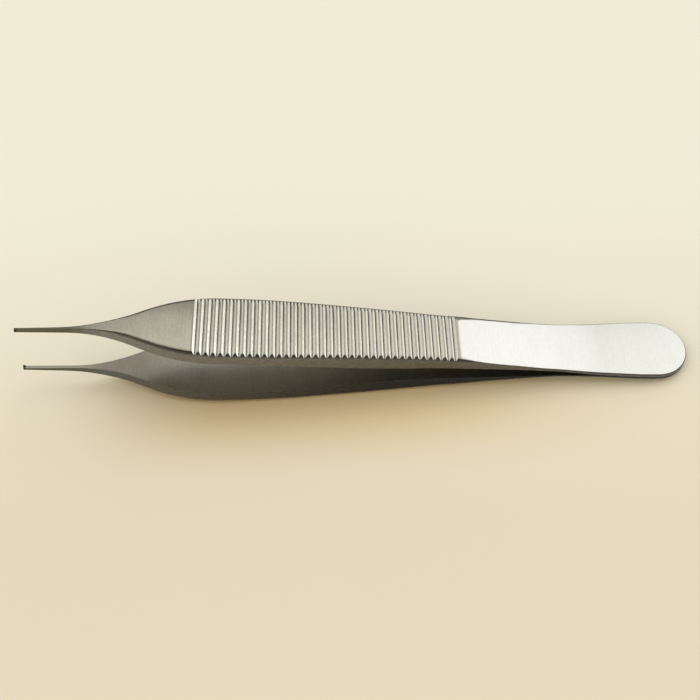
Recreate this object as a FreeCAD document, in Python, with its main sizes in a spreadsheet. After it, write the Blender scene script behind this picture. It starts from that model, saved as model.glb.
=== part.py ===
import FreeCAD, Part
import math
import os
import Sketcher

# Thumb forceps with toothed tips: two forged steel arms, welded together at the tail.
#
# Each arm is drawn in its own frame. Stations run along X from the tip (0) to the end of the
# tail, Y is across the width, and Z is the height above the plane midway between the two arms.
# The lower arm is the same forging turned half round about X. In the part's own frame the
# forceps lie on the lower arm, as they rest on a table, with the origin under the middle.

# Driving dimensions in millimetres and degrees: name, value, what it is.
SIZES = [
    ("overall_length", 120.0, "from the tip to the end of the tail"),
    ("weld_length", 16.5, "length of tail over which the flat inner faces meet"),

    ("jaw_gap", 10.3, "between the inner faces at the tips, arms free"),
    ("jaw_length", 11.0, "station where the inner face leaves the jaw"),
    ("jaw_height", 5.05, "inner face there"),
    ("throat_station", 22.0, "front of the hollow side of the grip"),
    ("throat_height", 4.42, "inner face there"),
    ("belly_station", 41.0, "where the inner face turns down to the shank"),
    ("belly_height", 4.25, "inner face there"),
    ("shank_station", 65.0, "where the inner face flattens into the shank"),
    ("shank_height", 1.8, "inner face there"),
    ("spring_length", 30.0, "from the end of the tail to where the shank dips to the weld"),
    ("spring_height", 0.95, "inner face there"),
    ("inner_bend_radius", 120.0, "bends of the inner face"),

    ("tip_thickness", 0.55, "arm at the very tip"),
    ("needle_station", 8.0, "where the needle begins to thicken"),
    ("needle_thickness", 0.87, "outer face there, over the jaw height"),
    ("grip_front_station", 21.0, "front end of the arched outer face"),
    ("grip_front_height", 7.2, "outer face there"),
    ("grip_rear_length", 41.0, "from the end of the tail to the rear end of the arched face"),
    ("grip_rear_height", 3.6, "outer face there"),
    ("grip_radius", 560.0, "arch of the outer face along the grip"),
    ("thin_length", 26.2, "from the end of the tail to the bend where the arm is thinnest"),
    ("thin_height", 1.17, "outer face there"),
    ("tail_thickness", 0.65, "each arm at the tail"),
    ("tail_flat_length", 17.8, "flat outer face of the tail"),
    ("outer_bend_radius", 60.0, "bends of the outer face"),

    ("tip_width", 0.56, "across the tip"),
    ("tip_corner_radius", 0.08, "corners of the tip seen from above"),
    ("needle_length", 15.1, "station where the needle meets the flare"),
    ("needle_width", 0.62, "across the needle there"),
    ("flare_length", 14.0, "length over which the arm widens to the grip"),
    ("flare_front_radius", 27.8, "hollow curve at the front of the flare"),
    ("flare_rear_radius", 30.0, "full curve at the rear of the flare"),
    ("grip_width", 13.1, "across the grip at both ends of its full part"),
    ("grip_full_length", 17.9, "length of the full part, between the flare and the taper"),
    ("grip_side_radius", 300.0, "slight bow of the sides over that length"),
    ("taper_radius", 250.0, "curve where the taper begins"),
    ("taper_length", 27.5, "length of the taper to the shank"),
    ("shank_width", 10.5, "across the shank"),
    ("shank_side_radius", 100.0, "curve where the taper meets the shank"),
    ("tail_flare_length", 14.65, "length over which the shank widens to the tail"),
    ("tail_side_radius", 45.0, "curves at both ends of that length"),
    ("tail_parallel_length", 3.0, "parallel sides just before the round end"),
    ("tail_radius", 6.1, "round end of the tail"),

    ("edge_round", 0.85, "rounding of the outer long edges at the grip"),
    ("tip_edge_round", 0.12, "the same rounding at the tip"),
    ("tail_edge_round", 0.25, "the same rounding at the tail"),

    ("groove_count", 37, "grooves across the grip"),
    ("groove_first_station", 31.8, "first groove"),
    ("groove_pitch", 1.27, "from groove to groove along the face"),
    ("groove_depth", 0.6, "depth of a groove"),
    ("groove_angle", 78.0, "angle between the sides of a groove"),

    ("tooth_height", 0.35, "teeth above the inner face"),
    ("tooth_length", 0.6, "teeth along the arm"),
    ("tooth_width", 0.18, "the single tooth of the upper arm"),
    ("tooth_clearance", 0.03, "between that tooth and each of the pair"),
]

# How far a cut runs past the material, and the step between the points of an outline.
MARGIN = 2.0
OUTLINE_STEP = 0.5

# The tilt at rest is searched for up to this many degrees, to this many radians.
STEEPEST_REST = 12.0
TILT_STEP = 1e-7

# Upward parts of the outward normals that tell the outer face from the upright sides.
OUTER_FACE_RISE = 0.5
SIDE_FACE_RISE = 0.05
TIP_END_BACKWARD = -0.999

SAME_LENGTH = 1e-6
SAME_VOLUME = 1e-9
UP = FreeCAD.Vector(0, 0, 1)


def make_sheet(doc):
    """The driving dimensions, one to a row, each with its own alias."""
    sheet = doc.addObject("Spreadsheet::Sheet", "Sizes")
    for row, (name, value, note) in enumerate(SIZES, start=1):
        sheet.set("A%d" % row, name)
        sheet.set("B%d" % row, str(value))
        sheet.setAlias("B%d" % row, name)
        sheet.set("C%d" % row, note)
    doc.recompute()
    return sheet


def value_of(sheet, expression):
    """Present value of an expression over the sheet, in millimetres."""
    result = sheet.evalExpression(expression)
    return float(getattr(result, "Value", result))


def size(name):
    """Expression that reads one driving dimension."""
    return "Sizes." + name


def origin_plane(body, role):
    return next(item for item in body.Origin.OriginFeatures if item.Role == role)


def new_sketch(body, name, role):
    """Sketch on one of the body's own origin planes."""
    sketch = body.newObject("Sketcher::SketchObject", name)
    sketch.AttachmentSupport = [(origin_plane(body, role), "")]
    sketch.MapMode = "FlatFace"
    return sketch


def bind(sketch, sheet, constraint_of, expression):
    """Add a dimension to the sketch and tie it to the sheet."""
    number = sketch.addConstraint(constraint_of(value_of(sheet, expression)))
    sketch.setExpression("Constraints[%d]" % number, expression)


def pin(sketch, sheet, geometry, end, x_expression, y_expression):
    """Hold a point at a place that the sheet gives."""
    for kind, expression, axis in (
            ("DistanceX", x_expression, -2), ("DistanceY", y_expression, -1)):
        if abs(value_of(sheet, expression)) < SAME_LENGTH:
            sketch.addConstraint(Sketcher.Constraint("PointOnObject", geometry, end, axis))
            continue
        bind(sketch, sheet, lambda distance: Sketcher.Constraint(
            kind, -1, 1, geometry, end, distance), expression)


class StraightLeg:
    """Straight side of an outline."""

    def __init__(self, start, end):
        self.start = start
        self.along = (end - start).normalize()

    def shifted(self, distance):
        """The same side moved over to its left."""
        left = FreeCAD.Vector(-self.along.y, self.along.x, 0)
        foot = self.start + left * distance
        return Part.Line(foot, foot + self.along)

    def nearest(self, point):
        return self.start + self.along * (point - self.start).dot(self.along)

    def direction(self, point):
        return self.along

    def geometry(self, start, end):
        return Part.LineSegment(start, end)


class ArchedLeg:
    """Side of an outline that turns to the left along an arc."""

    def __init__(self, start, end, radius):
        chord = end - start
        left = FreeCAD.Vector(-chord.y, chord.x, 0).normalize()
        rise = math.sqrt(radius ** 2 - (chord.Length / 2) ** 2)
        self.centre = start + chord * 0.5 + left * rise
        self.radius = radius

    def shifted(self, distance):
        """The same side moved over to its left, toward its centre."""
        return Part.Circle(self.centre, UP, self.radius - distance)

    def nearest(self, point):
        return self.centre + (point - self.centre).normalize() * self.radius

    def direction(self, point):
        spoke = (point - self.centre).normalize()
        return FreeCAD.Vector(-spoke.y, spoke.x, 0)

    def geometry(self, start, end):
        circle = Part.Circle(self.centre, UP, self.radius)
        return Part.ArcOfCircle(circle, circle.parameter(start), circle.parameter(end))


def blend_arc(corner, before, after, radius):
    """Arc that blends two legs at their corner: where it starts and ends, centre, side."""
    arriving = before.direction(corner)
    side = 1 if arriving.cross(after.direction(corner)).z > 0 else -1
    first = before.shifted(side * radius)
    second = after.shifted(side * radius)
    meetings = [FreeCAD.Vector(p.X, p.Y, 0) for p in first.intersectCC(second)]
    centre = min(meetings, key=lambda point: point.distanceToPoint(corner))
    return before.nearest(centre), after.nearest(centre), centre, side


def draw_outline(sketch, sheet, corners):
    """Closed outline through corners (x, y, arch, blend), all given as expressions.

    arch is the radius of the leg that runs from this corner to the next one, where it turns
    to the left along an arc. blend is the radius that blends the two legs at this corner.
    """
    count = len(corners)
    points = [FreeCAD.Vector(value_of(sheet, x), value_of(sheet, y), 0)
              for x, y, _, _ in corners]
    sides = []
    for index, (_, _, arch, _) in enumerate(corners):
        start = points[index]
        end = points[(index + 1) % count]
        if arch is None:
            sides.append(StraightLeg(start, end))
        else:
            sides.append(ArchedLeg(start, end, value_of(sheet, arch)))

    starts = list(points)
    ends = list(points)
    blends = {}
    for index, (_, _, _, blend) in enumerate(corners):
        if blend is None:
            continue
        radius = value_of(sheet, blend)
        ends[index], starts[index], centre, side = blend_arc(
            points[index], sides[index - 1], sides[index], radius)
        blends[index] = (Part.Circle(centre, UP, radius), side)

    legs = []
    for index in range(count):
        drawn = sides[index].geometry(starts[index], ends[(index + 1) % count])
        legs.append(sketch.addGeometry(drawn, False))
        arch = corners[index][2]
        if arch is not None:
            bind(sketch, sheet, lambda radius: Sketcher.Constraint(
                "Radius", legs[index], radius), arch)

    for index, (x, y, _, blend) in enumerate(corners):
        before = legs[index - 1]
        after = legs[index]
        if blend is None:
            sketch.addConstraint(Sketcher.Constraint("Coincident", before, 2, after, 1))
            pin(sketch, sheet, after, 1, x, y)
            continue
        circle, side = blends[index]
        span = (ends[index], starts[index]) if side > 0 else (starts[index], ends[index])
        arc = sketch.addGeometry(Part.ArcOfCircle(
            circle, circle.parameter(span[0]), circle.parameter(span[1])), False)
        corner = sketch.addGeometry(Part.Point(points[index]), True)
        pin(sketch, sheet, corner, 1, x, y)
        sketch.addConstraint(Sketcher.Constraint("PointOnObject", corner, 1, before))
        sketch.addConstraint(Sketcher.Constraint("PointOnObject", corner, 1, after))
        first, last = (1, 2) if side > 0 else (2, 1)
        sketch.addConstraint(Sketcher.Constraint("Tangent", before, 2, arc, first))
        sketch.addConstraint(Sketcher.Constraint("Tangent", arc, last, after, 1))
        bind(sketch, sheet, lambda radius: Sketcher.Constraint("Radius", arc, radius), blend)
    return legs


def changed(before, feature, what):
    """The feature's solid, which has to differ from the one it was made from."""
    shape = feature.Shape
    if shape.isNull() or abs(before.Volume - shape.Volume) < SAME_VOLUME:
        raise RuntimeError(what + " changed nothing")
    return shape


SPRING_STATION = "Sizes.overall_length - Sizes.spring_length"
GRIP_REAR_STATION = "Sizes.overall_length - Sizes.grip_rear_length"
THIN_STATION = "Sizes.overall_length - Sizes.thin_length"

INNER_CORNERS = [
    (size("jaw_length"), size("jaw_height")),
    (size("throat_station"), size("throat_height")),
    (size("belly_station"), size("belly_height")),
    (size("shank_station"), size("shank_height")),
    (SPRING_STATION, size("spring_height")),
    ("Sizes.overall_length - Sizes.weld_length", "0"),
]

# The third entry is the radius of an arched leg that starts at the corner.
OUTER_CORNERS = [
    ("Sizes.overall_length - Sizes.tail_flat_length", size("tail_thickness"), None),
    (THIN_STATION, size("thin_height"), None),
    (GRIP_REAR_STATION, size("grip_rear_height"), size("grip_radius")),
    (size("grip_front_station"), size("grip_front_height"), None),
    (size("needle_station"), "Sizes.jaw_height + Sizes.needle_thickness", None),
]


def side_view(doc, body, sheet, name):
    """The arm in side view, with the centre of the grip's arch as reference dimensions."""
    sketch = new_sketch(body, name + "_side_view", "XZ_Plane")
    corners = [("0", "Sizes.jaw_gap / 2", None, None)]
    corners += [(x, z, None, size("inner_bend_radius")) for x, z in INNER_CORNERS]
    corners += [(size("overall_length"), "0", None, None)]
    corners += [(size("overall_length"), size("tail_thickness"), None, None)]
    corners += [(x, z, arch, size("outer_bend_radius")) for x, z, arch in OUTER_CORNERS]
    corners += [("0", "Sizes.jaw_gap / 2 + Sizes.tip_thickness", None, None)]
    legs = draw_outline(sketch, sheet, corners)
    grip = next(leg for leg, corner in zip(legs, corners) if corner[2])
    centre = sketch.Geometry[grip].Center
    references = (
        ("grip_centre_station", ("DistanceX", -1, 1, grip, 3, centre.x)),
        ("grip_centre_depth", ("DistanceY", grip, 3, -1, 1, -centre.y)),
    )
    for label, dimension in references:
        number = sketch.addConstraint(Sketcher.Constraint(*dimension))
        sketch.setDriving(number, False)
        sketch.renameConstraint(number, label)
    doc.recompute()
    return sketch


def add_pad(doc, body, name, sketch, width_expression):
    """Pad of a side view, half to each side of the middle."""
    pad = body.newObject("PartDesign::Pad", name)
    pad.Profile = sketch
    pad.SideType = "Symmetric"
    pad.setExpression("Length", width_expression)
    doc.recompute()
    return pad


BLANK_WIDTH = "Sizes.grip_width + %g" % (2 * MARGIN)


def add_teeth(doc, body, sheet, name, width_expression):
    """Wedge at the tip that stands on the inner face and slopes away to the rear."""
    before = body.Tip.Shape
    sketch = new_sketch(body, name + "_tooth_view", "XZ_Plane")
    inner_face = "Sizes.jaw_gap / 2"
    root = inner_face + " + Sizes.tip_thickness / 2"
    draw_outline(sketch, sheet, [
        ("0", inner_face + " - Sizes.tooth_height", None, None),
        (size("tooth_length"), inner_face, None, None),
        (size("tooth_length"), root, None, None),
        ("0", root, None, None),
    ])
    changed(before, add_pad(doc, body, name + "_tooth", sketch, width_expression),
            name + " tooth")


def add_notch(doc, body, sheet, name):
    """Notch that leaves a pair of teeth, one to each side, with room for the single one."""
    before = body.Tip.Shape
    sketch = new_sketch(body, name + "_notch_view", "YZ_Plane")
    floor = "Sizes.jaw_gap / 2"
    open_end = floor + " - Sizes.tooth_height - %g" % MARGIN
    half = "Sizes.tooth_width / 2 + Sizes.tooth_clearance"
    draw_outline(sketch, sheet, [
        ("-(" + half + ")", open_end, None, None),
        (half, open_end, None, None),
        (half, floor, None, None),
        ("-(" + half + ")", floor, None, None),
    ])
    notch = body.newObject("PartDesign::Pocket", name + "_notch")
    notch.Profile = sketch
    notch.Reversed = True
    notch.setExpression("Length", size("tooth_length"))
    doc.recompute()
    changed(before, notch, name + " notch")


def plan_corners():
    """Edge of the arm from above and what lies outside it, from the tail to the tip."""
    flare_end = "Sizes.needle_length + Sizes.flare_length"
    taper_start = flare_end + " + Sizes.grip_full_length"
    taper_end = taper_start + " + Sizes.taper_length"
    round_start = "Sizes.overall_length - Sizes.tail_radius"
    tail_start = round_start + " - Sizes.tail_parallel_length"
    shank_end = tail_start + " - Sizes.tail_flare_length"
    grip_half = "Sizes.grip_width / 2"
    shank_half = "Sizes.shank_width / 2"
    beyond_tail = "Sizes.overall_length + %g" % MARGIN
    beyond_tip = "-%g" % MARGIN
    beyond_side = "Sizes.grip_width / 2 + %g" % MARGIN
    return [
        (beyond_tail, "0", None, None),
        (size("overall_length"), "0", size("tail_radius"), None),
        (round_start, size("tail_radius"), None, None),
        (tail_start, size("tail_radius"), None, size("tail_side_radius")),
        (shank_end, shank_half, None, size("tail_side_radius")),
        (taper_end, shank_half, None, size("shank_side_radius")),
        (taper_start, grip_half, size("grip_side_radius"), size("taper_radius")),
        (flare_end, grip_half, None, size("flare_rear_radius")),
        (size("needle_length"), "Sizes.needle_width / 2", None, size("flare_front_radius")),
        ("0", "Sizes.tip_width / 2", None, size("tip_corner_radius")),
        ("0", "0", None, None),
        (beyond_tip, "0", None, None),
        (beyond_tip, beyond_side, None, None),
        (beyond_tail, beyond_side, None, None),
    ]


def trim_sides(doc, body, sheet, name):
    """Cut the blank to its outline from above, one side and then its mirror image."""
    before = body.Tip.Shape
    sketch = new_sketch(body, name + "_plan_view", "XY_Plane")
    draw_outline(sketch, sheet, plan_corners())
    trim = body.newObject("PartDesign::Pocket", name + "_left_trim")
    trim.Profile = sketch
    trim.Type = "ThroughAll"
    trim.Reversed = True
    doc.recompute()
    one_side = changed(before, trim, name + " left trim")
    mirrored = body.newObject("PartDesign::Mirrored", name + "_right_trim")
    mirrored.Originals = [trim]
    mirrored.MirrorPlane = (origin_plane(body, "XZ_Plane"), [""])
    body.Tip = mirrored
    doc.recompute()
    changed(one_side, mirrored, name + " right trim")


def outward(face, point):
    """Outward normal of a face at one of its points."""
    u, v = face.Surface.parameter(point)
    return face.normalAt(u, v)


def is_outer_long_edge(shape, edge):
    """True for an edge between the outer face and the side, the tip's end left out."""
    middle = edge.valueAt((edge.FirstParameter + edge.LastParameter) / 2)
    normals = [outward(face, middle) for face in shape.ancestorsOfType(edge, Part.Face)]
    meets_outer = any(normal.z > OUTER_FACE_RISE for normal in normals)
    meets_side = any(abs(normal.z) < SIDE_FACE_RISE and normal.x > TIP_END_BACKWARD
                     for normal in normals)
    return meets_outer and meets_side


def rounding_at(sheet, station):
    """Radius of the long edges: fine at the needle, full at the grip, less at the tail."""
    stations = [
        (0.0, size("tip_edge_round")),
        (value_of(sheet, size("needle_length")), size("tip_edge_round")),
        (value_of(sheet, size("grip_front_station")), size("edge_round")),
        (value_of(sheet, GRIP_REAR_STATION), size("edge_round")),
        (value_of(sheet, THIN_STATION), size("tail_edge_round")),
        (value_of(sheet, size("overall_length")), size("tail_edge_round")),
    ]
    for (start, first), (end, last) in zip(stations, stations[1:]):
        if station <= end + SAME_LENGTH:
            share = (station - start) / (end - start)
            low = value_of(sheet, first)
            return low + (value_of(sheet, last) - low) * share
    return value_of(sheet, size("tail_edge_round"))


def round_long_edges(doc, sheet, name, forging):
    """Round the outer long edges, with a radius that follows the station."""
    shape = forging.Shape
    rounded = doc.addObject("Part::Fillet", name + "_rounded")
    rounded.Base = forging
    edges = []
    for number, edge in enumerate(shape.Edges, start=1):
        if not is_outer_long_edge(shape, edge):
            continue
        start = edge.valueAt(edge.FirstParameter).x
        end = edge.valueAt(edge.LastParameter).x
        edges.append((number, rounding_at(sheet, start), rounding_at(sheet, end)))
    rounded.Edges = edges
    doc.recompute()
    changed(shape, rounded, name + " rounding")
    return rounded


def cut_grooves(doc, body, sheet, name, side):
    """Grooves across the grip, all square to its arch."""
    before = body.Tip.Shape
    sketch = new_sketch(body, name + "_groove_view", "XZ_Plane")
    centre_station = side.Name + ".Constraints.grip_centre_station"
    centre_depth = side.Name + ".Constraints.grip_centre_depth"
    sketch.setExpression("AttachmentOffset.Base.x", centre_station)
    sketch.setExpression("AttachmentOffset.Base.y", "-" + centre_depth)
    sketch.setExpression(
        "AttachmentOffset.Rotation.Angle",
        "-asin((Sizes.groove_first_station * 1 mm - %s) / (Sizes.grip_radius * 1 mm))"
        % centre_station)
    bottom = "Sizes.grip_radius - Sizes.groove_depth"
    above = "Sizes.grip_radius + Sizes.groove_depth"
    half = "2 * Sizes.groove_depth * tan(Sizes.groove_angle / 2 * 1 deg)"
    draw_outline(sketch, sheet, [
        ("0", bottom, None, None),
        (half, above, None, None),
        ("-" + half, above, None, None),
    ])
    doc.recompute()
    groove = body.newObject("PartDesign::Pocket", name + "_groove")
    groove.Profile = sketch
    groove.Type = "ThroughAll"
    groove.SideType = "Symmetric"
    doc.recompute()
    single = changed(before, groove, name + " groove")
    grooves = body.newObject("PartDesign::PolarPattern", name + "_grooves")
    grooves.Originals = [groove]
    grooves.Axis = (sketch, ["N_Axis"])
    grooves.Mode = "Spacing"
    grooves.Reversed = True
    grooves.setExpression("Offset", "Sizes.groove_pitch / Sizes.grip_radius * 180 / pi")
    grooves.setExpression("Occurrences", size("groove_count"))
    body.Tip = grooves
    doc.recompute()
    changed(single, grooves, name + " groove pattern")


def make_arm(doc, sheet, name, paired_teeth):
    """One arm in its own frame, with a single tooth at the tip or a pair."""
    forging = doc.addObject("PartDesign::Body", name + "_forging")
    side = side_view(doc, forging, sheet, name)
    add_pad(doc, forging, name + "_blank", side, BLANK_WIDTH)
    if paired_teeth:
        add_teeth(doc, forging, sheet, name, BLANK_WIDTH)
        add_notch(doc, forging, sheet, name)
    else:
        add_teeth(doc, forging, sheet, name, size("tooth_width"))
    trim_sides(doc, forging, sheet, name)
    rounded = round_long_edges(doc, sheet, name, forging)
    arm = doc.addObject("PartDesign::Body", name)
    arm.BaseFeature = rounded
    doc.recompute()
    cut_grooves(doc, arm, sheet, name, side)
    arm.Label = name
    return arm, side


def outline_points(side):
    """Points round the side view of one arm and of its counterpart."""
    points = []
    for edge in side.Shape.Edges:
        points += [(point.x, point.z) for point in edge.discretize(Distance=OUTLINE_STEP)]
    return points + [(x, -z) for x, z in points]


def resting_tilt(points, weight_station):
    """Angle, tips up, at which the centre of mass is lowest over the table."""
    def height(angle):
        sine = math.sin(angle)
        cosine = math.cos(angle)
        return -weight_station * sine - min(z * cosine - x * sine for x, z in points)

    low = 0.0
    high = math.radians(STEEPEST_REST)
    while high - low > TILT_STEP:
        first = low + (high - low) / 3
        second = high - (high - low) / 3
        if height(first) < height(second):
            high = second
        else:
            low = first
    return (low + high) / 2


def lay_on_table(upper, lower, side):
    """Turn the lower arm over, and lay the pair down as it comes to rest."""
    points = outline_points(side)
    solids = upper.Shape.Solids + lower.Shape.Solids
    mass = sum(solid.Volume for solid in solids)
    weight_station = sum(solid.CenterOfMass.x * solid.Volume for solid in solids) / mass
    tilt = resting_tilt(points, weight_station)
    sine = math.sin(tilt)
    cosine = math.cos(tilt)
    reach = [x * cosine + z * sine for x, z in points]
    lowest = min(z * cosine - x * sine for x, z in points)
    middle = (min(reach) + max(reach)) / 2
    across = FreeCAD.Vector(0, 1, 0)
    along = FreeCAD.Vector(1, 0, 0)
    laid = FreeCAD.Placement(FreeCAD.Vector(-middle, 0, -lowest),
                             FreeCAD.Rotation(across, math.degrees(tilt)))
    turned_over = FreeCAD.Placement(FreeCAD.Vector(0, 0, 0), FreeCAD.Rotation(along, 180))
    upper.Placement = laid
    lower.Placement = laid.multiply(turned_over)
    return math.degrees(tilt)


def check_document(doc, arms):
    """Stop if any object failed or an arm is not one valid solid."""
    for item in doc.Objects:
        if "Invalid" in item.State or "Error" in item.State:
            raise RuntimeError(item.Name + " did not build")
    for arm in arms:
        if arm.Shape.isNull() or not arm.Shape.isValid() or len(arm.Shape.Solids) != 1:
            raise RuntimeError(arm.Label + " is not one valid solid")


def main():
    doc = FreeCAD.newDocument("thumb_forceps")
    sheet = make_sheet(doc)
    upper, side = make_arm(doc, sheet, "upper_arm", paired_teeth=False)
    lower, _ = make_arm(doc, sheet, "lower_arm", paired_teeth=True)
    tilt = lay_on_table(upper, lower, side)
    doc.recompute()
    check_document(doc, (upper, lower))
    os.makedirs("parts", exist_ok=True)
    for arm in (upper, lower):
        arm.Shape.exportStep(os.path.join("parts", arm.Label + ".step"))
        print(arm.Label, "volume %.1f mm3" % arm.Shape.Volume)
    print("resting tilt %.2f degrees" % tilt)


main()
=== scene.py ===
import math
from types import SimpleNamespace

import bpy
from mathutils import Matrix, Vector

# Thumb forceps in satin steel, lying on a pale table in soft studio light.
# All lengths are in metres, in the CAD model's own frame: +X runs from the tips to the tail.

MM = 0.001


def span(first, last):
    """Two lengths given in millimetres."""
    return first * MM, last * MM


# The camera stands in front of the grips and looks down at them. Its focal length is that of
# the photograph, in pixels of a 700-pixel frame, and the picture sits a little high in it.
FRAME_PIXELS = 700
FOCAL_PIXELS = 1330.0
PICTURE_RISE_PIXELS = 13.5
SENSOR_WIDTH_MM = 36.0
CAMERA_AT = Vector((2.97, -148.62, 193.02)) * MM
CAMERA_TURN = (38.927, 2.299, -1.449)
NEAREST_SEEN = 0.01

# The arms slope down to the tail by this angle. The middle of the tips' ends is here.
REST_TILT = math.radians(4.29)
TIP_AT = Vector((-59.64, 0.0, 9.95)) * MM

# Stretches of the steel's finishes, and of the shade painted on it, along the arm, by station from
# the tip. A finish or painted shade comes or goes from the first value to the second.
TIP_END = span(0.25, 0.7)
NEEDLE_END = span(8.0, 16.0)
INNER_CHANGE = span(20.0, 34.0)
SIDE_CHANGE = span(22.0, 66.0)
RIM_START = span(30.0, 31.0)
GRIP_START = span(30.9, 31.1)
GRIP_END = span(78.2, 78.4)
TAIL_START = span(78.2, 78.7)
RIM_NARROWS = span(78.2, 84.2)
RIM_END = span(88.0, 93.0)
WORN_START = span(99.0, 106.0)
END_WALL_START = span(110.0, 111.0)
WORN_END = span(114.0, 119.0)

# Half the arm's width along the grip: even at first, then less up to the shank.
GRIP_TAPER = span(44.0, 74.5)
GRIP_HALF_WIDTH = 6.6 * MM
SHANK_HALF_WIDTH = 5.25 * MM

# Distances in from the far long edge, for the dark rim and the grooves' dark far ends painted
# there as shade, and for the tail's corner.
GROOVE_END = span(0.2, 0.55)
RIM_INNER = span(0.4, 0.75)
RIM_EXTRA_WIDTH = 0.55 * MM
TAIL_CORNER = span(0.8, 1.7)
TAIL_CORNER_RADIUS = 0.7 * MM

# The dull face is painted darker towards its far edge over these distances from the middle line, a
# painted shade.
DULL_PAINTED_SHADE_SPAN = span(0.5, 6.5)

# Centre of the grip's arch, as station and height over the middle plane, its radius, and the
# grooves along it, each painted dark over this distance from its middle as shade in its valley.
ARCH_STATION = 15.36 * MM
ARCH_HEIGHT = -552.77 * MM
ARCH_RADIUS = 560.0 * MM
FIRST_GROOVE = 31.8 * MM
GROOVE_PITCH = 1.27 * MM
VALLEY_EDGE = span(0.03, 0.10)

# How far a face's normal points along an axis where a kind of face begins and is whole.
OUTER_FACING = (0.1, 0.4)
INWARD_FACING = (-0.7, -0.4)
EDGE_FACING = (0.0, 0.6)
GROOVE_SIDE_FACING = (0.3, 0.5)
REAR_FLANK_FACING = (-0.2, 0.2)
END_WALL_FACING = (0.2, 0.5)
FAR_SIDE_FACING = (0.12, 0.35)
NEAR_SIDE_FACING = (-0.65, -0.4)
LEVEL_FACING = (0.1, 0.4)

# Scratches and changes of tone: stretch along each axis, scale, detail and roughness.
STREAKS = ((1.0, 0.035, 1.0), 7000.0, 3.0, 0.6)
PATCHES = ((1.0, 0.45, 1.0), 240.0, 3.0, 0.55)
GRAIN = ((1.0, 0.5, 1.0), 3200.0, 2.0, 0.6)
GRINDING = ((0.2, 1.0, 1.0), 4200.0, 3.0, 0.65)
STREAK_TONE = 0.6
PATCH_TONE = 0.4
GRAIN_TONE = 0.6
GRINDING_TONE = 1.7
TAIL_TONE_SHARE = 0.5
VALUE_PER_TONE = 0.14
ROUGHNESS_PER_TONE = 0.05
NOISE_RANGE = (0.3, 0.7)

DULL_ROUGHNESS = 0.34
TAIL_ROUGHNESS = 0.30
SIDE_ROUGHNESS = 0.26
GROOVE_ROUGHNESS = 0.20
BRUSHED_ANISOTROPY = 0.5
BUMP_STRENGTH = 0.2
BUMP_DEPTH = 0.004 * MM

def srgb(red, green, blue):
    """Linear colour of a display colour given in 0 to 255."""
    def linear(value):
        share = value / 255
        return share / 12.92 if share <= 0.04045 else ((share + 0.055) / 1.055) ** 2.4

    return (linear(red), linear(green), linear(blue), 1.0)


# Reflecting colours of the steel, by finish, several of them with painted shade, highlight or
# reflection in them.
DULL_FACE = (0.39, 0.375, 0.31, 1.0)
# Painted shade: the dull face's far side, darker for how the light falls on it.
DULL_FAR_PAINTED_SHADE = (0.26, 0.245, 0.20, 1.0)
BRIGHT_FACE = (0.56, 0.57, 0.56, 1.0)
WORN_FACE = (0.54, 0.55, 0.525, 1.0)
# Painted shade: the dark line along the far long edge and at the grooves' far ends.
FAR_RIM_PAINTED_SHADE = (0.13, 0.125, 0.105, 1.0)
# Painted reflection: the upper arm's rounded long edges, painted nearly black as if they mirrored
# the dark room in front.
EDGE_PAINTED_DARK_REFLECTION = (0.06, 0.06, 0.055, 1.0)
UPPER_SIDE_FRONT = (0.245, 0.25, 0.255, 1.0)
UPPER_SIDE_REAR = (0.175, 0.18, 0.19, 1.0)
# The lower arm's side walls are painted darker towards the tail, painted shade where the arm lies
# near the table.
LOWER_SIDE_FRONT = (0.185, 0.205, 0.225, 1.0)
LOWER_SIDE_PAINTED_SHADE = (0.048, 0.058, 0.08, 1.0)
# Painted reflection: the lower arm's rounded bottom edges, painted light tan as the table mirrored
# in them.
LOWER_EDGE_PAINTED_FLOOR_REFLECTION = (0.26, 0.25, 0.21, 1.0)
# The inner faces are painted darker at the flare, painted shade between the arms.
INNER_FRONT_PAINTED_SHADE = (0.245, 0.22, 0.185, 1.0)
INNER_REAR = (0.32, 0.31, 0.275, 1.0)
# Bright-cut groove flanks, with a painted highlight on those facing the tail and painted shade on
# those facing the tips.
BRIGHT_CUT_AND_HIGHLIGHT = (0.76, 0.765, 0.73, 1.0)
BRIGHT_CUT_IN_SHADE = (0.60, 0.595, 0.54, 1.0)
CREST_FACE = (0.29, 0.28, 0.24, 1.0)
# Painted shade: the dark line in each groove's valley.
VALLEY_PAINTED_SHADE = (0.08, 0.075, 0.06, 1.0)
NEEDLE_FACE = (0.13, 0.128, 0.095, 1.0)
NEEDLE_INNER = (0.33, 0.31, 0.25, 1.0)
TIP_FACE = (0.045, 0.05, 0.04, 1.0)

# Tilt of the shading normal for each metre from the middle line, and how far the groove
# sides' normals lean up.
CROWN = 12.0
GROOVE_LIFT = 0.45

FLOOR_SIZE = 3.0
# The table's colour runs from a darker, warmer front to a paler back, a painted falloff of the
# light.
FLOOR_NEAR_SHADED = (0.775, 0.725, 0.59, 1.0)
# Painted shadow: a warm patch on the table in front of and under the forceps, and where it lies.
FLOOR_PAINTED_SHADOW = (0.785, 0.655, 0.42, 1.0)
FLOOR_FAR_LIT = (0.855, 0.865, 0.765, 1.0)
FLOOR_ROUGHNESS = 0.9
FLOOR_SHINE = 0.1
FLOOR_PAINTED_FALLOFF = span(-40.0, 50.0)
PAINTED_SHADOW_FRONT = span(-24.0, -9.0)
PAINTED_SHADOW_BACK = span(-5.0, 4.0)
PAINTED_SHADOW_LEFT = span(-55.0, -22.0)
PAINTED_SHADOW_RIGHT = span(5.0, 60.0)
BACKDROP = srgb(241, 236, 216)

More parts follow.
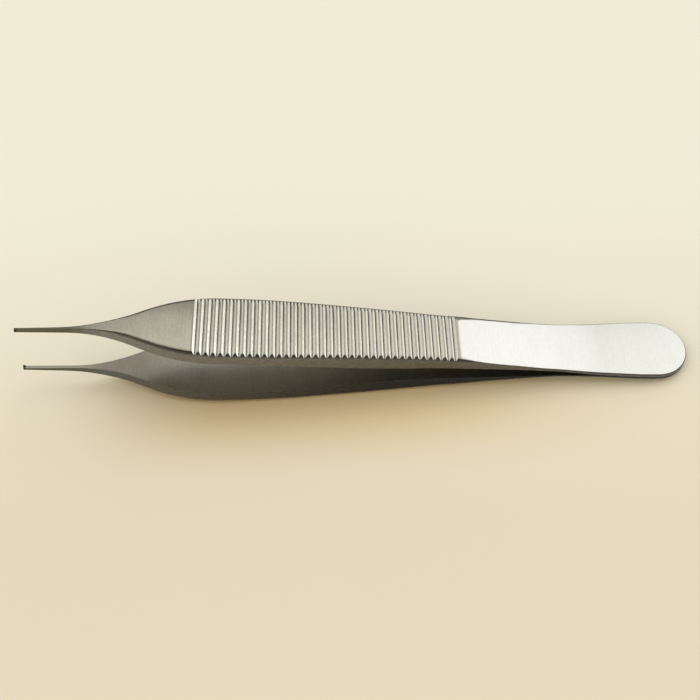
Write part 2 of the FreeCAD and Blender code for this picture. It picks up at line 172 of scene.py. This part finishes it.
# Light of the room's two halves, and the directions of its brightest and darkest parts, each
# whole within the first angle and gone at the second.
FRONT_LIGHT = (1.25, 1.05, 0.80, 1.0)
BACK_LIGHT = (1.12, 1.09, 1.04, 1.0)
FRONT_TO_BACK = (-0.55, 0.05)
RIGHT_AT = (0.55, 0.60, 0.58)
RIGHT_ANGLES = (18, 45)
RIGHT_GAIN = 0.60
LENS_AT = (0.0, -0.52, 0.85)
LENS_ANGLES = (12, 34)
LENS_SHARE = 0.1

# A darker patch low at the back, and the height up to which the horizon is pale.
PATCH_DEPTH = (0.3, 0.6)
PATCH_LEFT = (-0.6, -0.35)
PATCH_RIGHT = (0.12, 0.36)
PATCH_TOP = (0.50, 0.95)
PATCH_SHARE = 0.35
HORIZON = (0.17, 0.30)


class Graph:
    """Node tree with short calls for the nodes that the materials share."""

    def __init__(self, tree):
        self.tree = tree
        self.tree.nodes.clear()

    def add(self, kind, **settings):
        node = self.tree.nodes.new(kind)
        for name, value in settings.items():
            setattr(node, name, value)
        return node

    def join(self, source, target):
        self.tree.links.new(source, target)

    def feed(self, socket, value):
        if isinstance(value, bpy.types.NodeSocket):
            self.join(value, socket)
        else:
            socket.default_value = value

    def math(self, operation, first, second=0.0):
        node = self.add("ShaderNodeMath", operation=operation)
        self.feed(node.inputs[0], first)
        self.feed(node.inputs[1], second)
        return node.outputs[0]

    def ramp(self, value, low, high, start=0.0, end=1.0, smooth=True):
        """Value that runs from start to end while the input runs from low to high."""
        kind = "SMOOTHSTEP" if smooth else "LINEAR"
        node = self.add("ShaderNodeMapRange", interpolation_type=kind)
        self.feed(node.inputs["Value"], value)
        for name, number in (("From Min", low), ("From Max", high),
                             ("To Min", start), ("To Max", end)):
            node.inputs[name].default_value = number
        return node.outputs["Result"]

    def fall(self, value, low, high):
        """Value that runs from 1 down to 0 while the input runs from low to high."""
        return self.ramp(value, low, high, 1.0, 0.0)

    def product(self, first, *others):
        for other in others:
            first = self.math("MULTIPLY", first, other)
        return first

    def noise(self, place, stretch, scale, detail, roughness):
        """Noise that is stretched by a factor along each axis."""
        mapping = self.add("ShaderNodeMapping")
        self.feed(mapping.inputs["Vector"], place)
        mapping.inputs["Scale"].default_value = stretch
        node = self.add("ShaderNodeTexNoise")
        self.join(mapping.outputs[0], node.inputs["Vector"])
        node.inputs["Scale"].default_value = scale
        node.inputs["Detail"].default_value = detail
        node.inputs["Roughness"].default_value = roughness
        return node.outputs["Fac"]

    def mix(self, share, first, second):
        node = self.add("ShaderNodeMix", data_type="RGBA")
        self.feed(node.inputs["Factor"], share)
        self.feed(node.inputs["A"], first)
        self.feed(node.inputs["B"], second)
        return node.outputs["Result"]


def new_material(name):
    material = bpy.data.materials.new(name)
    material.use_nodes = True
    return material, Graph(material.node_tree)


def blend(graph, share, first, second):
    """Number that runs from the first to the second with the share."""
    node = graph.add("ShaderNodeMix", data_type="FLOAT")
    graph.feed(node.inputs[0], share)
    graph.feed(node.inputs[2], first)
    graph.feed(node.inputs[3], second)
    return node.outputs[0]


def dot_with(graph, vector, direction):
    node = graph.add("ShaderNodeVectorMath", operation="DOT_PRODUCT")
    graph.join(vector, node.inputs[0])
    node.inputs[1].default_value = direction
    return node.outputs["Value"]


def add_vectors(graph, first, second):
    node = graph.add("ShaderNodeVectorMath", operation="ADD")
    graph.join(first, node.inputs[0])
    graph.join(second, node.inputs[1])
    return node.outputs[0]


def scaled(graph, vector, factor):
    """Vector, a constant or a socket's, times a number."""
    node = graph.add("ShaderNodeVectorMath", operation="SCALE")
    graph.feed(node.inputs[0], vector)
    graph.feed(node.inputs["Scale"], factor)
    return node.outputs[0]


ALONG = (math.cos(REST_TILT), 0.0, -math.sin(REST_TILT))
UPWARD = (math.sin(REST_TILT), 0.0, math.cos(REST_TILT))
BACKWARD = (0.0, 1.0, 0.0)


def measure_point(graph, outward):
    """Where a point of the arm lies and which way it faces."""
    at = SimpleNamespace()
    at.place = graph.add("ShaderNodeTexCoord").outputs["Object"]
    at.normal = graph.add("ShaderNodeNewGeometry").outputs["Normal"]
    from_tip = graph.add("ShaderNodeVectorMath", operation="SUBTRACT")
    graph.join(at.place, from_tip.inputs[0])
    from_tip.inputs[1].default_value = TIP_AT
    at.station = dot_with(graph, from_tip.outputs[0], ALONG)
    at.height = dot_with(graph, from_tip.outputs[0], outward)
    at.across = dot_with(graph, at.place, BACKWARD)
    at.facing_out = dot_with(graph, at.normal, outward)
    at.facing_tail = dot_with(graph, at.normal, ALONG)
    at.facing_along = graph.math("ABSOLUTE", at.facing_tail)
    at.facing_back = dot_with(graph, at.normal, BACKWARD)
    at.facing_across = graph.math("ABSOLUTE", at.facing_back)
    return at


def groove_middle_distance(graph, at):
    """Distance along the arch from the nearest groove's middle."""
    turn = graph.math("ARCTAN2", graph.math("SUBTRACT", at.station, ARCH_STATION),
                      graph.math("SUBTRACT", at.height, ARCH_HEIGHT))
    first_turn = math.asin((FIRST_GROOVE - ARCH_STATION) / ARCH_RADIUS)
    count = graph.math("MULTIPLY", graph.math("SUBTRACT", turn, first_turn),
                       ARCH_RADIUS / GROOVE_PITCH)
    nearest = graph.math("ROUND", count)
    share = graph.math("ABSOLUTE", graph.math("SUBTRACT", count, nearest))
    return graph.math("MULTIPLY", share, GROOVE_PITCH)


def find_parts(graph, at):
    """Which part of the arm a point lies on, each from 0 to 1."""
    part = SimpleNamespace()
    part.outer = graph.ramp(at.facing_out, *OUTER_FACING)
    in_grip = graph.product(graph.ramp(at.station, *GRIP_START), graph.fall(at.station, *GRIP_END))
    part.grip = graph.product(in_grip, part.outer)
    part.groove = graph.product(part.grip, graph.ramp(at.facing_along, *GROOVE_SIDE_FACING))
    part.valley = graph.product(part.groove,
                                graph.fall(groove_middle_distance(graph, at), *VALLEY_EDGE))

    end_wall = graph.product(graph.ramp(at.facing_along, *END_WALL_FACING),
                             graph.ramp(at.station, *END_WALL_START))
    side = graph.math("MAXIMUM", graph.ramp(at.facing_back, *FAR_SIDE_FACING),
                      graph.fall(at.facing_back, *NEAR_SIDE_FACING))
    part.side = graph.math("MAXIMUM", side, end_wall)
    # The rounded long edges, where a reflection is painted into the colour.
    part.edge = graph.product(part.side, graph.ramp(at.facing_out, *EDGE_FACING))

    half_width = graph.ramp(at.station, *GRIP_TAPER, GRIP_HALF_WIDTH, SHANK_HALF_WIDTH, False)
    inside = graph.math("SUBTRACT", half_width, at.across)
    corner = graph.ramp(inside, *TAIL_CORNER, TAIL_CORNER_RADIUS, 0.0)
    tail = graph.ramp(graph.math("SUBTRACT", at.station, corner), *TAIL_START)
    part.tail = graph.product(tail, part.outer)
    part.worn = graph.product(graph.ramp(at.station, *WORN_START),
                              graph.fall(at.station, *WORN_END))

    # The grooves' far ends are painted dark, painted shade.
    part.groove_end = graph.fall(inside, *GROOVE_END)
    rim_width = graph.ramp(at.station, *RIM_NARROWS, RIM_EXTRA_WIDTH, 0.0)
    # A dark rim painted along the far long edge, painted shade.
    rim = graph.fall(graph.math("SUBTRACT", inside, rim_width), *RIM_INNER)
    part.rim = graph.product(rim, part.outer, graph.ramp(at.station, *RIM_START),
                             graph.fall(at.station, *RIM_END))
    part.needle = graph.fall(at.station, *NEEDLE_END)
    part.tip = graph.fall(at.station, *TIP_END)
    return part


def swing(graph, noise, amount):
    """Noise as a tone that runs to an amount on both sides of 0."""
    return graph.ramp(noise, *NOISE_RANGE, -amount, amount, False)


def steel_tone(graph, at, part, streaks):
    """Fine scratches across the arm, and slow changes of tone."""
    patches = graph.noise(at.place, *PATCHES)
    grain = graph.noise(at.place, *GRAIN)
    tone = graph.math("ADD", swing(graph, streaks, STREAK_TONE), swing(graph, patches, PATCH_TONE))
    tone = graph.math("ADD", tone, swing(graph, grain, GRAIN_TONE))
    tone = graph.product(tone, blend(graph, part.tail, 1.0, TAIL_TONE_SHARE))
    grinding = graph.noise(at.place, *GRINDING)
    return blend(graph, part.side, tone, swing(graph, grinding, GRINDING_TONE))


def steel_colour(graph, at, part, upper):
    if upper:
        side_front, side_rear, painted_edge_reflection = UPPER_SIDE_FRONT, UPPER_SIDE_REAR, EDGE_PAINTED_DARK_REFLECTION
    else:
        side_front, side_rear, painted_edge_reflection = LOWER_SIDE_FRONT, LOWER_SIDE_PAINTED_SHADE, LOWER_EDGE_PAINTED_FLOOR_REFLECTION
    # Inner faces, painted darker at the flare as shade between the arms.
    inner_face = graph.mix(graph.ramp(at.station, *INNER_CHANGE), INNER_FRONT_PAINTED_SHADE, INNER_REAR)
    # The side walls darken towards the tail; on the lower arm this is painted shade.
    rearward = graph.ramp(at.station, *SIDE_CHANGE, 0.0, 1.0, False)
    side_tone_and_shade = graph.mix(rearward, side_front, side_rear)
    # The dull face with painted shade towards its far edge.
    dull_face_and_shade = graph.mix(graph.ramp(at.across, *DULL_PAINTED_SHADE_SPAN), DULL_FACE, DULL_FAR_PAINTED_SHADE)
    # Groove flanks facing the tail get a painted highlight, those facing the tips painted shade.
    groove_flank_light_and_shade = graph.mix(graph.ramp(at.facing_tail, *REAR_FLANK_FACING),
                            BRIGHT_CUT_IN_SHADE, BRIGHT_CUT_AND_HIGHLIGHT)
    groove_flank_light_and_shade = graph.mix(part.groove_end, groove_flank_light_and_shade, FAR_RIM_PAINTED_SHADE)
    needle_face = graph.mix(graph.ramp(at.facing_out, *INWARD_FACING), NEEDLE_INNER, NEEDLE_FACE)

    base = graph.mix(part.outer, inner_face, dull_face_and_shade)
    for share, face in ((part.grip, CREST_FACE),
                        (part.tail, graph.mix(part.worn, BRIGHT_FACE, WORN_FACE)),
                        (part.rim, FAR_RIM_PAINTED_SHADE), (part.side, side_tone_and_shade), (part.edge, painted_edge_reflection),
                        (part.groove, groove_flank_light_and_shade), (part.valley, VALLEY_PAINTED_SHADE),
                        (part.needle, needle_face), (part.tip, TIP_FACE)):
        base = graph.mix(share, base, face)
    return base


def steel_roughness(graph, part, tone):
    rough = blend(graph, part.tail, DULL_ROUGHNESS, TAIL_ROUGHNESS)
    rough = blend(graph, part.side, rough, SIDE_ROUGHNESS)
    rough = blend(graph, part.groove, rough, GROOVE_ROUGHNESS)
    return graph.math("ADD", rough, graph.product(tone, ROUGHNESS_PER_TONE))


def shading_normal(graph, at, part, outward, streaks):
    """The outer face is slightly crowned by the finishing belt, and the grooves' sides are
    a little rounded, which the shading normal carries."""
    level = graph.fall(at.facing_across, *LEVEL_FACING)
    tilt = graph.product(graph.math("MULTIPLY", at.across, CROWN),
                         graph.product(part.outer, level))
    bent = add_vectors(graph, at.normal, scaled(graph, BACKWARD, tilt))
    lift = scaled(graph, outward, graph.product(part.groove, GROOVE_LIFT))
    unit = graph.add("ShaderNodeVectorMath", operation="NORMALIZE")
    graph.join(add_vectors(graph, bent, lift), unit.inputs[0])
    bump = graph.add("ShaderNodeBump")
    bump.inputs["Strength"].default_value = BUMP_STRENGTH
    bump.inputs["Distance"].default_value = BUMP_DEPTH
    graph.join(streaks, bump.inputs["Height"])
    graph.join(unit.outputs[0], bump.inputs["Normal"])
    return bump.outputs[0]


def steel_material(name, outer_side):
    """Stainless steel: dull satin blank, brushed bright tail and bright-cut grooves, with painted
    shade, highlights and reflections in its colour.

    outer_side is +1 for the arm whose outer face looks up and -1 for the other one.
    """
    material, graph = new_material(name)
    shader = graph.add("ShaderNodeBsdfPrincipled")
    output = graph.add("ShaderNodeOutputMaterial")
    graph.join(shader.outputs[0], output.inputs["Surface"])
    shader.inputs["Metallic"].default_value = 1.0
    shader.inputs["Anisotropic"].default_value = BRUSHED_ANISOTROPY

    outward = tuple(outer_side * value for value in UPWARD)
    at = measure_point(graph, outward)
    part = find_parts(graph, at)
    streaks = graph.noise(at.place, *STREAKS)
    tone = steel_tone(graph, at, part, streaks)

    value = graph.math("ADD", graph.product(tone, VALUE_PER_TONE), 1.0)
    toned = graph.add("ShaderNodeHueSaturation")
    graph.join(value, toned.inputs["Value"])
    graph.join(steel_colour(graph, at, part, outer_side > 0), toned.inputs["Color"])
    graph.join(toned.outputs[0], shader.inputs["Base Color"])
    graph.join(steel_roughness(graph, part, tone), shader.inputs["Roughness"])
    graph.join(shading_normal(graph, at, part, outward, streaks), shader.inputs["Normal"])

    tangent = graph.add("ShaderNodeCombineXYZ")
    tangent.inputs[0].default_value = ALONG[0]
    tangent.inputs[2].default_value = ALONG[2]
    graph.join(tangent.outputs[0], shader.inputs["Tangent"])
    return material


def dress_arms(frame):
    for name, outer_side in (("upper_arm", 1), ("lower_arm", -1)):
        node = frame["nodes"][name]
        node.data.materials.clear()
        node.data.materials.append(steel_material("steel_" + name, outer_side))


def table_material():
    """Pale table top, painted darker and warmer towards the front as a falloff of the light, with
    a warm shadow painted in front of and under the forceps.
    """
    material, graph = new_material("table")
    shader = graph.add("ShaderNodeBsdfPrincipled")
    output = graph.add("ShaderNodeOutputMaterial")
    graph.join(shader.outputs[0], output.inputs["Surface"])
    place = graph.add("ShaderNodeTexCoord").outputs["Object"]
    depth = dot_with(graph, place, BACKWARD)
    length = dot_with(graph, place, (1.0, 0.0, 0.0))
    # Mask of the warm shadow painted in front of and under the forceps.
    warm = graph.product(graph.ramp(depth, *PAINTED_SHADOW_FRONT), graph.fall(depth, *PAINTED_SHADOW_BACK),
                         graph.product(graph.ramp(length, *PAINTED_SHADOW_LEFT),
                                       graph.fall(length, *PAINTED_SHADOW_RIGHT)))
    # Darker and warmer towards the front: a painted falloff of the light.
    colour = graph.mix(graph.ramp(depth, *FLOOR_PAINTED_FALLOFF), FLOOR_NEAR_SHADED, FLOOR_FAR_LIT)
    graph.join(graph.mix(warm, colour, FLOOR_PAINTED_SHADOW), shader.inputs["Base Color"])
    shader.inputs["Roughness"].default_value = FLOOR_ROUGHNESS
    shader.inputs["Specular IOR Level"].default_value = FLOOR_SHINE
    return material


def lay_floor():
    half = FLOOR_SIZE / 2
    mesh = bpy.data.meshes.new("floor")
    corners = [(-half, -half, 0), (half, -half, 0), (half, half, 0), (-half, half, 0)]
    mesh.from_pydata(corners, [], [(0, 1, 2, 3)])
    floor = bpy.data.objects.new("floor", mesh)
    bpy.context.scene.collection.objects.link(floor)
    mesh.materials.append(table_material())


def lobe(graph, direction, towards, inner, outer):
    """1 within the inner angle of a direction, in degrees, falling to 0 at the outer one."""
    closeness = dot_with(graph, direction, Vector(towards).normalized())
    return graph.ramp(closeness, math.cos(math.radians(outer)), math.cos(math.radians(inner)))


def light_room():
    """Soft room: warm in front, bright to the right, dark at the lens, pale along the horizon."""
    world = bpy.data.worlds.new("room")
    bpy.context.scene.world = world
    world.use_nodes = True
    graph = Graph(world.node_tree)
    background = graph.add("ShaderNodeBackground")
    output = graph.add("ShaderNodeOutputWorld")
    direction = graph.add("ShaderNodeTexCoord").outputs["Generated"]
    parts = graph.add("ShaderNodeSeparateXYZ")
    graph.join(direction, parts.inputs[0])
    x, y, z = parts.outputs

    colour = graph.mix(graph.ramp(y, *FRONT_TO_BACK), FRONT_LIGHT, BACK_LIGHT)
    right = lobe(graph, direction, RIGHT_AT, *RIGHT_ANGLES)
    lens = lobe(graph, direction, LENS_AT, *LENS_ANGLES)
    patch = graph.product(graph.ramp(y, *PATCH_DEPTH),
                          graph.product(graph.ramp(x, *PATCH_LEFT), graph.fall(x, *PATCH_RIGHT)),
                          graph.fall(z, *PATCH_TOP))
    level = graph.math("ADD", 1.0, graph.product(right, RIGHT_GAIN))
    level = graph.product(level, blend(graph, patch, 1.0, PATCH_SHARE),
                          blend(graph, lens, 1.0, LENS_SHARE))
    shade = scaled(graph, colour, level)
    room = graph.mix(graph.ramp(z, *HORIZON), BACKDROP, shade)
    graph.join(room, background.inputs["Color"])
    graph.join(background.outputs[0], output.inputs["Surface"])


def place_camera():
    data = bpy.data.cameras.new("camera")
    data.sensor_width = SENSOR_WIDTH_MM
    data.lens = FOCAL_PIXELS * SENSOR_WIDTH_MM / FRAME_PIXELS
    data.shift_y = -PICTURE_RISE_PIXELS / FRAME_PIXELS
    data.clip_start = NEAREST_SEEN
    camera = bpy.data.objects.new("camera", data)
    camera.location = CAMERA_AT
    camera.rotation_euler = [math.radians(angle) for angle in CAMERA_TURN]
    bpy.context.scene.collection.objects.link(camera)
    bpy.context.scene.camera = camera


bpy.context.scene.view_settings.view_transform = "Standard"
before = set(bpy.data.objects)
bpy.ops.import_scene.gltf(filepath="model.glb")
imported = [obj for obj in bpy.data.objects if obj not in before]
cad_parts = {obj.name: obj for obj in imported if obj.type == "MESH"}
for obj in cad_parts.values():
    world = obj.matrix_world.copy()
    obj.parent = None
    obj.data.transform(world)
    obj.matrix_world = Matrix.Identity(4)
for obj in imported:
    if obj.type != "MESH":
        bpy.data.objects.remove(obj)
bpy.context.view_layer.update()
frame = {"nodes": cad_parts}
place_camera()
light_room()
lay_floor()
dress_arms(frame)
